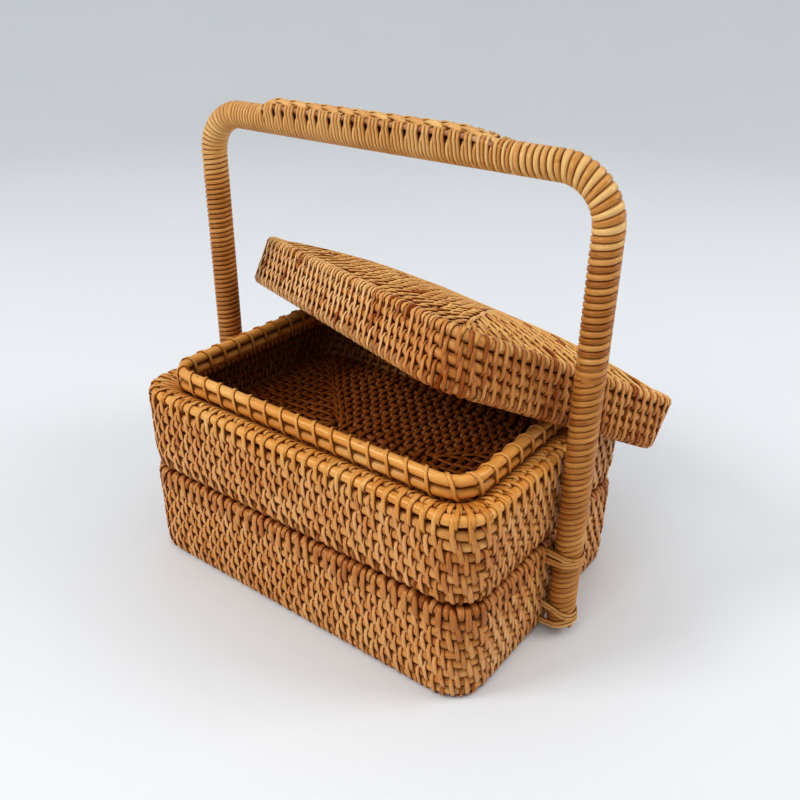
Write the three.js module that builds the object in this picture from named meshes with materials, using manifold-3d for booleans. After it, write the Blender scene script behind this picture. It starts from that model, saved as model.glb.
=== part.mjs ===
// Rattan picnic basket: two stacked trays, a loose lid lying askew on them, and an arch handle
// lashed to the ends of the lower tray. Millimetres, +Z up, +X along the long side, -Y to the front.
// The origin is under the middle of the lower tray, on the surface that the basket stands on.
import * as THREE from 'three';
import { mergeVertices } from 'three/addons/utils/BufferGeometryUtils.js';
import Module from 'manifold-3d';

// Trays: outside sizes over the rods, each height up to the crest of its border
const TRAY_LENGTH = 246;
const TRAY_WIDTH = 178;
const CORNER_RADIUS = 22;
const LOWER_TRAY_HEIGHT = 60.7;
const UPPER_TRAY_HEIGHT = 55.4;
const WALL_THICKNESS = 6;
const FLOOR_THICKNESS = 4.6;
const BORDER_DIAMETER = 8.6;

// Rows of rods on the outside of the walls: a rib for each rod, with a valley between each two
const LOWER_TRAY_ROWS = 8;
const UPPER_TRAY_ROWS = 7;
const LID_ROWS = 3;
const ROW_DEPTH = 2.6;
const ROW_CREST = 2.6;

// Collar: two smooth rods bound together, standing on the ledge inside each border
const COLLAR_INSET = 17;
const COLLAR_CORNER_RADIUS = 16;
const COLLAR_ROD_DIAMETER = 6.5;
const LEDGE_THICKNESS = 3.2;
const LEDGE_DROP = 4.1;
const LEDGE_LIP = 6.5;
const BINDING_WIDTH = 2.4;
const BINDING_THICKNESS = 1.2;
const BINDING_LOOPS = 24;
const BINDING_RUN_END = 0.04;

// Lid: a shallow cover of the trays' outline, lying tilted and turned on the upper tray
const LID_HEIGHT = 32;
const LID_TOP_THICKNESS = 4.5;
const LID_ROD_PITCH = 6.2;
const LID_CROWN = 9.8;
const LID_CROWN_RODS = 11;
const LID_ROD_CORNER = 4;
const LID_EDGE_DIAMETER = 7;
const LID_SHOULDER_DIAMETER = 6.5;
const LID_ROLL = -26.4;
const LID_PITCH = -4.25;
const LID_TURN = -22.5;
const LID_POST_CLEARANCE = 4.4;
const TRAY_LIFT = 20;

// Handle: a bent pole under a close flat wrapping
const HANDLE_HEIGHT = 264;
const BEND_RADIUS = 26;
const POLE_DIAMETER = 10.8;
const POLE_FOOT = 3;
const WRAP_THICKNESS = 1.6;
const WRAP_LOOPS = 24;
const WRAP_MARGIN = 3;
const POST_CLEARANCE = 0.9;

// Grip: two underlay rods and a braid along the top of the bar
const GRIP_LEFT = -87;
const GRIP_RIGHT = 80;
const UNDERLAY_DIAMETER = 3.2;
const UNDERLAY_ANGLE = 35;
const BRAID_WIDTH = 7;
const BRAID_HEIGHT = 4.2;
const BRAID_TAPER = 14;
const BRAID_END_SHARE = 0.5;

// Lashings: flat strips round a post, through the wall and across its inner face
const LASHING_WIDTH = 2.2;
const LASHING_THICKNESS = 1.4;
const LASHING_TURNS = 4;
const LOWER_LASHING_HEIGHT = 10;
const UPPER_LASHING_DROP = 2;

// Clearances between neighbours, and between the turns of one winding
const GAP = 0.3;
const POLE_GAP = 0.4;
const TURN_GAP = 0.6;
const SLOT_CLEARANCE = 0.5;

// Finishes of the cane, from the dark floors to the pale braid
const FLOOR_FINISH = { color: 0x9a5c2c, roughness: 0.6, metalness: 0 };
const WEAVE_FINISH = { color: 0xb97a3f, roughness: 0.55, metalness: 0 };
const BORDER_FINISH = { color: 0xc98d4a, roughness: 0.4, metalness: 0 };
const COLLAR_FINISH = { color: 0xc58444, roughness: 0.4, metalness: 0 };
const POLE_FINISH = { color: 0x8a5a2e, roughness: 0.6, metalness: 0 };
const WRAPPING_FINISH = { color: 0xd09a55, roughness: 0.4, metalness: 0 };
const GRIP_FINISH = { color: 0xd6a566, roughness: 0.45, metalness: 0 };

// Facets
const CORNER_STEPS = 4;
const ROD_SIDES = 8;
const POLE_SIDES = 12;
const BEND_STEPS = 6;
const WRAP_STEPS = 8;
const END_STEPS = 3;
const LASHING_STEPS = 6;

const wasm = await Module();
wasm.setup();

const UP = new THREE.Vector3(0, 0, 1);
const trayOutline = { length: TRAY_LENGTH, width: TRAY_WIDTH, radius: CORNER_RADIUS };
const collarOutline = {
  length: TRAY_LENGTH - 2 * COLLAR_INSET,
  width: TRAY_WIDTH - 2 * COLLAR_INSET,
  radius: COLLAR_CORNER_RADIUS,
};

// A named mesh with a material of its own.
function piece(name, geometry, finish) {
  const mesh = new THREE.Mesh(geometry, new THREE.MeshStandardMaterial(finish));
  mesh.name = name;
  return mesh;
}

function meshGeometry(points, triangles) {
  const geometry = new THREE.BufferGeometry();
  geometry.setAttribute('position', new THREE.Float32BufferAttribute(points.flatMap((p) => p.toArray()), 3));
  geometry.setIndex(triangles);
  geometry.computeVertexNormals();
  return geometry;
}

// A closed mesh as a solid that can be cut.
function solidOf(geometry) {
  const bare = geometry.clone();
  bare.deleteAttribute('normal');
  bare.deleteAttribute('uv');
  const merged = mergeVertices(bare, 1e-4);
  return new wasm.Manifold(new wasm.Mesh({
    numProp: 3,
    vertProperties: new Float32Array(merged.attributes.position.array),
    triVerts: new Uint32Array(merged.index.array),
  }));
}

function cut(geometry, tools) {
  let solid = solidOf(geometry);
  for (const tool of tools) {
    solid = solid.subtract(solidOf(tool));
  }
  const mesh = solid.getMesh();
  const result = new THREE.BufferGeometry();
  result.setAttribute('position', new THREE.BufferAttribute(new Float32Array(mesh.vertProperties), 3));
  result.setIndex(new THREE.BufferAttribute(new Uint32Array(mesh.triVerts), 1));
  result.computeVertexNormals();
  return result;
}

// Points round a rounded rectangle drawn in from an outline, seen anticlockwise from above.
function loopAt(outline, inset, z) {
  const radius = outline.radius - inset;
  const cornerX = outline.length / 2 - outline.radius;
  const cornerY = outline.width / 2 - outline.radius;
  const corners = [[cornerX, cornerY], [-cornerX, cornerY], [-cornerX, -cornerY], [cornerX, -cornerY]];
  return corners.flatMap(([x, y], quarter) => {
    const arc = [];
    for (let step = 0; step <= CORNER_STEPS; step += 1) {
      const angle = (quarter + step / CORNER_STEPS) * Math.PI / 2;
      arc.push(new THREE.Vector3(x + radius * Math.cos(angle), y + radius * Math.sin(angle), z));
    }
    return arc;
  });
}

// Faces between two loops of as many points, given by their numbers in a row of loops.
function bandFaces(row, next, count) {
  const triangles = [];
  for (let k = 0; k < count; k += 1) {
    const after = (k + 1) % count;
    const a = row * count + k;
    const b = row * count + after;
    const c = next * count + after;
    const d = next * count + k;
    triangles.push(a, b, c, a, c, d);
  }
  return triangles;
}

// A closed ring: loops in order up the outside, across the top, down the inside.
function ringSolid(loops) {
  const count = loops[0].length;
  const triangles = loops.flatMap((loop, row) => bandFaces(row, (row + 1) % loops.length, count));
  return meshGeometry(loops.flat(), triangles);
}

// A closed panel: loops in order up its edge and in across its top, with both ends filled.
function panelSolid(loops) {
  const count = loops[0].length;
  const last = (loops.length - 1) * count;
  const triangles = loops.slice(1).flatMap((loop, row) => bandFaces(row, row + 1, count));
  for (let k = 1; k < count - 1; k += 1) {
    triangles.push(0, k + 1, k, last, last + k, last + k + 1);
  }
  return meshGeometry(loops.flat(), triangles);
}

// Loops up the outside of a wall of stacked rods.
function rowLoops(bottom, top, rows) {
  const pitch = (top - bottom) / rows;
  const loops = [];
  for (let row = 0; row < rows; row += 1) {
    const middle = bottom + (row + 0.5) * pitch;
    loops.push(
      loopAt(trayOutline, ROW_DEPTH, bottom + row * pitch),
      loopAt(trayOutline, 0, middle - ROW_CREST / 2),
      loopAt(trayOutline, 0, middle + ROW_CREST / 2),
    );
  }
  loops.push(loopAt(trayOutline, ROW_DEPTH, top));
  return loops;
}

// A round rod bent into a hoop whose centre line is drawn in from an outline.
function hoop(outline, inset, z, diameter) {
  const loops = [];
  for (let side = 0; side < ROD_SIDES; side += 1) {
    const angle = (side + 0.5) / ROD_SIDES * 2 * Math.PI;
    const across = Math.cos(angle) * diameter / 2;
    loops.push(loopAt(outline, inset - across, z + Math.sin(angle) * diameter / 2));
  }
  return ringSolid(loops);
}

function plate(outline, inset, bottom, thickness) {
  const shape = new THREE.Shape(loopAt(outline, inset, 0).map((p) => new THREE.Vector2(p.x, p.y)));
  const geometry = new THREE.ExtrudeGeometry(shape, { depth: thickness, bevelEnabled: false });
  return geometry.translate(0, 0, bottom);
}

// One unbroken bar along points. Each section faces the outward direction given for its point.
function sweep(points, outs, section, scales) {
  const vertices = [];
  points.forEach((point, k) => {
    const before = points[Math.max(k - 1, 0)];
    const after = points[Math.min(k + 1, points.length - 1)];
    const tangent = after.clone().sub(before).normalize();
    const out = outs[k].clone().addScaledVector(tangent, -outs[k].dot(tangent)).normalize();
    const across = tangent.clone().cross(out);
    const scale = scales ? scales[k] : 1;
    for (const [u, v] of section) {
      vertices.push(point.clone().addScaledVector(out, u * scale).addScaledVector(across, v * scale));
    }
  });
  const sides = section.length;
  const triangles = [];
  for (let k = 0; k < points.length - 1; k += 1) {
    for (let s = 0; s < sides; s += 1) {
      const a = k * sides + s;
      const b = k * sides + (s + 1) % sides;
      triangles.push(a, b, b + sides, a, b + sides, a + sides);
    }
  }
  const last = (points.length - 1) * sides;
  for (let s = 1; s < sides - 1; s += 1) {
    triangles.push(0, s + 1, s, last, last + s, last + s + 1);
  }
  return meshGeometry(vertices, triangles);
}

function ovalSection(thickness, width, sides) {
  const section = [];
  for (let s = 0; s < sides; s += 1) {
    const angle = (s + 0.5) / sides * 2 * Math.PI;
    section.push([Math.cos(angle) * thickness / 2, Math.sin(angle) * width / 2]);
  }
  return section;
}

function flatSection(thickness, width) {
  const u = thickness / 2;
  const v = width / 2;
  return [[-u, -v], [u, -v], [u, v], [-u, v]];
}

// The least distance between corner points of a winding that lie at least half a loop apart.
function printLeastGap(name, geometry, sides, stepsPerLoop) {
  const position = geometry.attributes.position;
  const apart = sides * Math.ceil(stepsPerLoop / 2);
  const a = new THREE.Vector3();
  const b = new THREE.Vector3();
  let least = Infinity;
  for (let i = 0; i < position.count; i += 1) {
    a.fromBufferAttribute(position, i);
    for (let j = i + apart; j < position.count; j += 1) {
      least = Math.min(least, a.distanceTo(b.fromBufferAttribute(position, j)));
    }
  }
  console.log(`${name}: least gap to itself ${least.toFixed(2)} mm`);
}

// Heights of a tray's parts, from the surface that its wall stands on
const bindingRoom = GAP + BINDING_THICKNESS + GAP;
const collarRise = 2 * COLLAR_ROD_DIAMETER + GAP;
const collarTop = -LEDGE_DROP + 2 * bindingRoom + collarRise;
const upperTrayBottom = LOWER_TRAY_HEIGHT + GAP;
const shelfDrop = BORDER_DIAMETER + GAP;
const ledgeStart = BORDER_DIAMETER + 2 * GAP;

// The wall with the shelf under the border and the ledge that carries the collar.
function trayWall(bottom, crest, rows) {
  const shelf = crest - shelfDrop;
  const ledge = crest - LEDGE_DROP;
  return ringSolid([
    ...rowLoops(bottom, shelf, rows),
    loopAt(trayOutline, ledgeStart, shelf),
    loopAt(trayOutline, ledgeStart, ledge),
    loopAt(collarOutline, LEDGE_LIP, ledge),
    loopAt(collarOutline, LEDGE_LIP, ledge - LEDGE_THICKNESS),
    loopAt(trayOutline, ledgeStart, shelf - LEDGE_THICKNESS),
    loopAt(trayOutline, WALL_THICKNESS, shelf - LEDGE_THICKNESS),
    loopAt(trayOutline, WALL_THICKNESS, bottom),
  ]);
}

// A point on the collar's centre line at a share of the way round, with the inward direction there.
function collarStation(share) {
  const { length, width, radius } = collarOutline;
  const runX = length - 2 * radius;
  const runY = width - 2 * radius;
  const bend = radius * Math.PI / 2;
  let left = share * 2 * (runX + runY + 2 * bend);
  const sides = [[runX, 0], [runY, 1], [runX, 2], [runY, 3]];
  for (const [run, quarter] of sides) {
    const facing = (quarter - 1) * Math.PI / 2;
    const outward = new THREE.Vector3(Math.cos(facing), Math.sin(facing), 0);
    const along = new THREE.Vector3(-outward.y, outward.x, 0);
    const reach = quarter % 2 === 0 ? width / 2 : length / 2;
    if (left <= run) {
      const place = outward.clone().multiplyScalar(reach).addScaledVector(along, left - run / 2);
      return { place, inward: outward.negate() };
    }
    left -= run;
    if (left <= bend || quarter === 3) {
      const centre = outward.clone().multiplyScalar(reach - radius).addScaledVector(along, run / 2);
      const turned = outward.applyAxisAngle(UP, left / radius);
      return { place: centre.addScaledVector(turned, radius), inward: turned.clone().negate() };
    }
    left -= bend;
  }
  return null;
}

// The binding: one flat strip spiralling round both collar rods, all the way along the collar.
function collarBinding(name, middle) {
  const half = (COLLAR_ROD_DIAMETER + GAP) / 2;
  const reach = (COLLAR_ROD_DIAMETER / 2 + GAP) / Math.cos(Math.PI / END_STEPS / 2) + BINDING_THICKNESS / 2;
  const stepsPerLoop = 2 * (END_STEPS + 1);
  const points = [];
  const outs = [];
  const total = BINDING_LOOPS * stepsPerLoop;
  for (let k = 0; k <= total; k += 1) {
    const turn = k % stepsPerLoop;
    const upper = turn <= END_STEPS;
    const step = upper ? turn : turn - END_STEPS - 1;
    const angle = (upper ? 0 : Math.PI) + step / END_STEPS * Math.PI;
    const share = BINDING_RUN_END + (1 - 2 * BINDING_RUN_END) * k / total;
    const { place, inward } = collarStation(share);
    const out = inward.multiplyScalar(Math.cos(angle)).addScaledVector(UP, Math.sin(angle));
    const centre = place.addScaledVector(UP, middle + (upper ? half : -half));
    points.push(centre.addScaledVector(out, reach));
    outs.push(out);
  }
  const geometry = sweep(points, outs, flatSection(BINDING_THICKNESS, BINDING_WIDTH));
  printLeastGap(name, geometry, 4, stepsPerLoop);
  return geometry;
}

// The pieces of one tray. lift is how high the floor lies above the foot of the wall.
function tray(side, bottom, height, rows, lift, slots) {
  const crest = bottom + height;
  const lowerRod = crest - LEDGE_DROP + bindingRoom + COLLAR_ROD_DIAMETER / 2;
  const upperRod = lowerRod + COLLAR_ROD_DIAMETER + GAP;
  const border = BORDER_DIAMETER / 2;
  const group = new THREE.Group();
  const floor = plate(trayOutline, WALL_THICKNESS + GAP, bottom + lift, FLOOR_THICKNESS);
  const wall = trayWall(bottom, crest, rows);
  const borderHoop = hoop(trayOutline, border + GAP, crest - border, BORDER_DIAMETER);
  const bottomHoop = hoop(collarOutline, 0, lowerRod, COLLAR_ROD_DIAMETER);
  const topHoop = hoop(collarOutline, 0, upperRod, COLLAR_ROD_DIAMETER);
  const binding = `${side}_collar_binding`;
  group.add(
    piece(`${side}_tray_floor`, floor, FLOOR_FINISH),
    piece(`${side}_tray_wall`, slots.length ? cut(wall, slots) : wall, WEAVE_FINISH),
    piece(`${side}_border_hoop`, borderHoop, BORDER_FINISH),
    piece(`${side}_collar_bottom_hoop`, bottomHoop, COLLAR_FINISH),
    piece(`${side}_collar_top_hoop`, topHoop, COLLAR_FINISH),
    piece(binding, collarBinding(binding, (lowerRod + upperRod) / 2), WRAPPING_FINISH),
  );
  return group;
}

// Handle centre line: up the left post, over the bar, down the right post
const wrapInner = (POLE_DIAMETER / 2 + POLE_GAP) / Math.cos(Math.PI / WRAP_STEPS);
const wrapOuter = wrapInner + WRAP_THICKNESS;
const postX = TRAY_LENGTH / 2 + POST_CLEARANCE + wrapOuter;
const postRun = HANDLE_HEIGHT - BEND_RADIUS - POLE_FOOT;
const bendRun = BEND_RADIUS * Math.PI / 2;
const barRun = 2 * (postX - BEND_RADIUS);
const handleRun = 2 * (postRun + bendRun) + barRun;

// A point on the centre line at a distance along it, with its direction.
function handleStation(distance) {
  const mirrored = distance > handleRun / 2;
  const s = mirrored ? handleRun - distance : distance;
  const place = new THREE.Vector3(-postX, 0, POLE_FOOT + s);
  const along = new THREE.Vector3(0, 0, 1);
  if (s > postRun) {
    const angle = Math.min((s - postRun) / BEND_RADIUS, Math.PI / 2);
    const past = Math.max(s - postRun - bendRun, 0);
    place.x = -postX + BEND_RADIUS * (1 - Math.cos(angle)) + past;
    place.z = HANDLE_HEIGHT - BEND_RADIUS * (1 - Math.sin(angle));
    along.set(Math.sin(angle), 0, Math.cos(angle));
  }
  if (mirrored) {
    place.x = -place.x;
    along.z = -along.z;
  }
  return { place, along };
}

function handlePole() {
  const stops = [0];
  for (let step = 0; step <= BEND_STEPS; step += 1) {
    stops.push(postRun + bendRun * step / BEND_STEPS);
  }
  const points = stops.concat(stops.map((s) => handleRun - s).reverse()).map((s) => handleStation(s).place);
  const outs = points.map(() => new THREE.Vector3(0, 1, 0));
  return sweep(points, outs, ovalSection(POLE_DIAMETER, POLE_DIAMETER, POLE_SIDES));
}

// A flat wrapping from one distance along the pole to another, its turns clear on the inside of a bend.
function handleWrap(name, from, to, inBend) {
  const pitch = (to - from) / WRAP_LOOPS;
  const tightest = inBend ? pitch * (BEND_RADIUS - wrapOuter) / BEND_RADIUS : pitch;
  const side = new THREE.Vector3(0, 1, 0);
  const points = [];
  const outs = [];
  for (let k = 0; k <= WRAP_LOOPS * WRAP_STEPS; k += 1) {
    const { place, along } = handleStation(from + (to - from) * k / (WRAP_LOOPS * WRAP_STEPS));
    const out = side.clone().applyAxisAngle(along, k / WRAP_STEPS * 2 * Math.PI);
    points.push(place.addScaledVector(out, wrapInner + WRAP_THICKNESS / 2));
    outs.push(out);
  }
  const geometry = sweep(points, outs, flatSection(WRAP_THICKNESS, tightest - TURN_GAP));
  printLeastGap(name, geometry, 4, WRAP_STEPS);
  return geometry;
}

// Where the lashings lie: just under the ledge, and just above the floor
const lashingPitch = LASHING_WIDTH + TURN_GAP;
const lashingRise = (LASHING_TURNS - 1) * lashingPitch;
const lashingReach = (wrapOuter + GAP) / Math.cos(Math.PI / LASHING_STEPS / 2) + LASHING_THICKNESS / 2;
const lashingInside = TRAY_LENGTH / 2 - WALL_THICKNESS - GAP - LASHING_THICKNESS / 2;
const ledgeUnderside = LOWER_TRAY_HEIGHT - shelfDrop - LEDGE_THICKNESS;
const upperLashingStart = ledgeUnderside - UPPER_LASHING_DROP - lashingRise;

// A lashing on the right post, from its lowest turn; the left one is its half-turned twin.
function lashing(name, start) {
  const points = [];
  const outs = [];
  const add = (x, y, z, outX, outY) => {
    points.push(new THREE.Vector3(x, y, z));
    outs.push(new THREE.Vector3(outX, outY, 0));
  };
  add(lashingInside, LASHING_WIDTH - lashingReach, start, -1, 0);
  for (let turn = 0; turn < LASHING_TURNS; turn += 1) {
    const z = start + turn * lashingPitch;
    add(lashingInside, -lashingReach, z, -1, -1);
    for (let step = 0; step <= LASHING_STEPS; step += 1) {
      const angle = (step / LASHING_STEPS - 0.5) * Math.PI;
      const outX = Math.cos(angle);
      const outY = Math.sin(angle);
      add(postX + lashingReach * outX, lashingReach * outY, z, outX, outY);
    }
    add(lashingInside, lashingReach, z, -1, 1);
  }
  add(lashingInside, lashingReach - LASHING_WIDTH, start + lashingRise, -1, 0);
  const geometry = sweep(points, outs, flatSection(LASHING_THICKNESS, LASHING_WIDTH));
  printLeastGap(name, geometry, 4, LASHING_STEPS);
  return geometry;
}

// The openings in the lower tray's end walls that the lashings pass through.
function lashingSlots() {
  const across = LASHING_THICKNESS + 2 * SLOT_CLEARANCE;
  const tall = lashingRise + LASHING_WIDTH + 2 * SLOT_CLEARANCE;
  const slots = [];
  for (const start of [LOWER_LASHING_HEIGHT, upperLashingStart]) {
    for (const end of [-1, 1]) {
      for (const flank of [-1, 1]) {
        const box = new THREE.BoxGeometry(3 * WALL_THICKNESS, across, tall);
        slots.push(box.translate(end * TRAY_LENGTH / 2, flank * lashingReach, start + lashingRise / 2));
      }
    }
  }
  return slots;
}

function handle() {
  const group = new THREE.Group();
  const postEnd = postRun + bendRun;
  const wraps = [
    ['left_post_wrapping', WRAP_MARGIN, postEnd - WRAP_MARGIN, true],
    ['bar_wrapping', postEnd + WRAP_MARGIN, handleRun - postEnd - WRAP_MARGIN, false],
    ['right_post_wrapping', handleRun - postEnd + WRAP_MARGIN, handleRun - WRAP_MARGIN, true],
  ];
  group.add(piece('handle_pole', handlePole(), POLE_FINISH));
  for (const [name, from, to, inBend] of wraps) {
    group.add(piece(name, handleWrap(name, from, to, inBend), WRAPPING_FINISH));
  }
  const underlayReach = wrapOuter + GAP + UNDERLAY_DIAMETER / 2;
  for (const [name, flank] of [['grip_front_underlay', -1], ['grip_back_underlay', 1]]) {
    const angle = THREE.MathUtils.degToRad(UNDERLAY_ANGLE);
    const y = flank * underlayReach * Math.sin(angle);
    const z = HANDLE_HEIGHT + underlayReach * Math.cos(angle);
    const ends = [new THREE.Vector3(GRIP_LEFT, y, z), new THREE.Vector3(GRIP_RIGHT, y, z)];
    const rod = sweep(ends, [UP, UP], ovalSection(UNDERLAY_DIAMETER, UNDERLAY_DIAMETER, ROD_SIDES));
    group.add(piece(name, rod, GRIP_FINISH));
  }
  group.add(piece('grip_braid', gripBraid(), GRIP_FINISH));
  for (const [height, start] of [['upper', upperLashingStart], ['lower', LOWER_LASHING_HEIGHT]]) {
    for (const [end, turn] of [['right', 0], ['left', Math.PI]]) {
      const name = `${end}_${height}_lashing`;
      const mesh = piece(name, lashing(name, start), WRAPPING_FINISH);
      mesh.rotation.z = turn;
      group.add(mesh);
    }
  }
  return group;
}

// The braid's bulk: an oval bar lying on the wrapping, thinner at both ends.
function gripBraid() {
  const seat = HANDLE_HEIGHT + wrapOuter + GAP;
  const stops = [GRIP_LEFT, GRIP_LEFT + BRAID_TAPER, GRIP_RIGHT - BRAID_TAPER, GRIP_RIGHT];
  const scales = [BRAID_END_SHARE, 1, 1, BRAID_END_SHARE];
  const points = stops.map((x, k) => new THREE.Vector3(x, 0, seat + scales[k] * BRAID_HEIGHT / 2));
  return sweep(points, stops.map(() => UP), ovalSection(BRAID_HEIGHT, BRAID_WIDTH, ROD_SIDES), scales);
}

// The corner point of an outline that lies furthest in a direction, on the ground.
function cornerTowards(outline, direction) {
  const flat = new THREE.Vector3(direction.x, direction.y, 0).normalize();
  const x = Math.sign(flat.x) * (outline.length / 2 - outline.radius);
  const y = Math.sign(flat.y) * (outline.width / 2 - outline.radius);
  return new THREE.Vector3(x, y, 0).addScaledVector(flat, outline.radius);
}

// Where the lid lies: its top on the collar's back right corner, its back edge just behind the tray's
// back right corner, and clear of both posts, also when the upper tray is lifted under it.
function lidPlace(rotation) {
  const x = new THREE.Vector3(1, 0, 0).applyEuler(rotation);
  const y = new THREE.Vector3(0, 1, 0).applyEuler(rotation);
  const z = new THREE.Vector3(0, 0, 1).applyEuler(rotation);
  const edge = LID_EDGE_DIAMETER / 2;
  const upperRod = upperTrayBottom + UPPER_TRAY_HEIGHT + collarTop - bindingRoom - COLLAR_ROD_DIAMETER / 2;
  const seat = cornerTowards(collarOutline, z).setZ(upperRod);
  const seatHeight = LID_HEIGHT - LID_TOP_THICKNESS - GAP - BINDING_THICKNESS - COLLAR_ROD_DIAMETER / 2;
  const alongZ = seat.dot(z) - seatHeight;
  const raise = (point, height) => point.setZ((height + alongZ - point.dot(z)) / z.z);

  const backCorner = raise(cornerTowards(trayOutline, y), edge);
  const lean = Math.hypot(y.x, y.y);
  const behindTray = backCorner.dot(y) - (TRAY_WIDTH / 2 - edge - (edge + GAP) / lean);
  const leftPost = new THREE.Vector3(y.x, y.y, 0).setLength(wrapOuter);
  raise(leftPost.setX(leftPost.x - postX), 0);
  const behindPost = leftPost.dot(y) + TRAY_WIDTH / 2 + GAP - TRAY_LIFT * y.z;
  const alongY = Math.max(behindTray, behindPost);

  const rightPost = new THREE.Vector3(-x.x, -x.y, 0).setLength(wrapOuter);
  raise(rightPost.setX(rightPost.x + postX), 0);
  const alongX = rightPost.dot(x) - TRAY_LENGTH / 2 - LID_POST_CLEARANCE;
  return x.multiplyScalar(alongX).addScaledVector(y, alongY).addScaledVector(z, alongZ);
}

// The lid's top: rods nested one inside the other, a rib for each, rising as a dome over a flat underside.
function lidTop() {
  const edge = LID_SHOULDER_DIAMETER + GAP;
  const rods = Math.floor((TRAY_WIDTH / 2 - edge) / LID_ROD_PITCH);
  const slope = (LID_ROD_PITCH - ROW_CREST) / 2;
  const nested = (inset, z) => loopAt({
    length: TRAY_LENGTH - 2 * inset,
    width: TRAY_WIDTH - 2 * inset,
    radius: Math.max(CORNER_RADIUS - inset, LID_ROD_CORNER),
  }, 0, z);
  const loops = [nested(edge, LID_HEIGHT - LID_TOP_THICKNESS)];
  for (let rod = 0; rod < rods; rod += 1) {
    const outer = edge + rod * LID_ROD_PITCH;
    const crest = LID_HEIGHT + LID_CROWN * Math.sin(Math.PI / 2 * Math.min(1, rod / LID_CROWN_RODS));
    loops.push(nested(outer, crest - ROW_DEPTH), nested(outer + slope, crest));
    if (rod < rods - 1) {
      loops.push(nested(outer + slope + ROW_CREST, crest));
    }
  }
  return panelSolid(loops);
}

// The lid, built upright on its own rim, then laid askew.
function lid() {
  const edge = LID_EDGE_DIAMETER / 2;
  const shoulder = LID_SHOULDER_DIAMETER / 2;
  const skirtBottom = LID_EDGE_DIAMETER + GAP;
  const skirtTop = LID_HEIGHT - LID_SHOULDER_DIAMETER - GAP;
  const skirt = ringSolid([
    ...rowLoops(skirtBottom, skirtTop, LID_ROWS),
    loopAt(trayOutline, WALL_THICKNESS, skirtTop),
    loopAt(trayOutline, WALL_THICKNESS, skirtBottom),
  ]);
  const shoulderHoop = hoop(trayOutline, shoulder, LID_HEIGHT - shoulder, LID_SHOULDER_DIAMETER);
  const group = new THREE.Group();
  group.add(
    piece('lid_top_panel', lidTop(), WEAVE_FINISH),
    piece('lid_skirt', skirt, WEAVE_FINISH),
    piece('lid_shoulder_hoop', shoulderHoop, BORDER_FINISH),
    piece('lid_edge_hoop', hoop(trayOutline, edge, edge, LID_EDGE_DIAMETER), BORDER_FINISH),
  );
  const angles = [LID_ROLL, LID_PITCH, LID_TURN].map(THREE.MathUtils.degToRad);
  group.rotation.set(...angles, 'ZYX');
  group.position.copy(lidPlace(group.rotation));
  return group;
}

const basket = new THREE.Group();
basket.add(
  tray('lower', 0, LOWER_TRAY_HEIGHT, LOWER_TRAY_ROWS, 0, lashingSlots()),
  handle(),
  tray('upper', upperTrayBottom, UPPER_TRAY_HEIGHT, UPPER_TRAY_ROWS, collarTop + GAP, []),
  lid(),
);

export default basket;
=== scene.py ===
# Two-tier rattan picnic basket: its rods, stitches and windings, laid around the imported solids.
# Metres, +Z up, long side along X, front towards -Y.
import math
import random
from collections import namedtuple

import bmesh
import bpy
from mathutils import Matrix, Vector, noise


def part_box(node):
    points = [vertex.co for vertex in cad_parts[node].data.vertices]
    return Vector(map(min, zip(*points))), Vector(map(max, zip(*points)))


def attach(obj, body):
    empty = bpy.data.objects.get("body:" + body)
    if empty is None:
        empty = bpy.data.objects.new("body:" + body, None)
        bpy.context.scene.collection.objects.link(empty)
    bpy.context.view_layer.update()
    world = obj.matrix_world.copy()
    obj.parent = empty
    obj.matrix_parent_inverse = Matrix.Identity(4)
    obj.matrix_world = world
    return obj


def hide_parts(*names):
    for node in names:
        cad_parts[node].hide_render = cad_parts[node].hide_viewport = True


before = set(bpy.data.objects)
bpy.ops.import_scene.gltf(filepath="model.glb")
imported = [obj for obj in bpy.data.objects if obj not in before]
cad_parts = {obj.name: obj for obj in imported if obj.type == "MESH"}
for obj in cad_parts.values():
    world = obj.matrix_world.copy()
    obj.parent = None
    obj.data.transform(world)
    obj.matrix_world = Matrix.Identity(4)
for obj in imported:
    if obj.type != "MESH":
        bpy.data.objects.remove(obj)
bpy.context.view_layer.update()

chance = random.Random(41)


# Lower tray floor: rattan rods bent into nested rounded rectangles and laid side by side.
# Flat cane stitches go round each rod and the next one in, each row nearly half a step from the last.
# Rods and stitches are a darker cane than the walls, made darker still as painted shade for the tray's
# unlit inside, with a thin clear varnish.
Course = namedtuple("Course", "length width corner height radius")
STITCH_WIDTH = 0.0027
STITCH_THICKNESS = 0.0009
STITCH_SPACING = 0.0081
STITCH_JITTER = 0.13
STITCH_PINCH = (0.8, 0.8, 0.76, 0.96, 1.08)
STITCH_CUTS = ((0, 1.0), (0.0003, 0.93), (-0.0003, 1.06), (0.0001, 0.86))
CROWDED_STITCHES = 0.7
ROW_SHIFT = -0.42
FLOOR_ROD_RADIUS = 0.0024
FLOOR_PITCH = 0.0060
FLOOR_CORNER = 0.014
SOLID_MARGIN = 0.0002
SPINE_WIDTH = 0.0002
SPINE_TONE = 0.5
TIGHTEST_BEND = 0.004
WIDEST_BEND = 0.45
ROD_STEP = 0.006
ROD_SIDES = 10
ROD_TONES = (0.46, 0.64)
HONEY_TONE = 0.56
HONEY_SPREAD = 0.06
HONEY_DARKEST = 0.35
HONEY_PALEST = 0.8
REDDISH_SHARE = 0.02
REDDISH_TONES = (0.2, 0.35)
# Painted shade: stitches beyond this corner point are this much darker.
CORNER_PAINTED_SHADE = 0.13
SHADED_CORNER = Vector((0.1, -0.065))
FIBRE_SHARE = 0.55
PATCH_SHARE = 0.3
FIBRE_HEIGHT = 0.0003
SPECK_SHADE = 0.55
# Painted shade: the darkest colour is this share of the deep shade, and the inner half of each stitch
# keeps this share of its lit share.
PAINTED_SHADE_SHARE = 0.55
INSIDE_LIT_SHARE = 0.45
UP = Vector((0, 0, 1))


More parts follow.
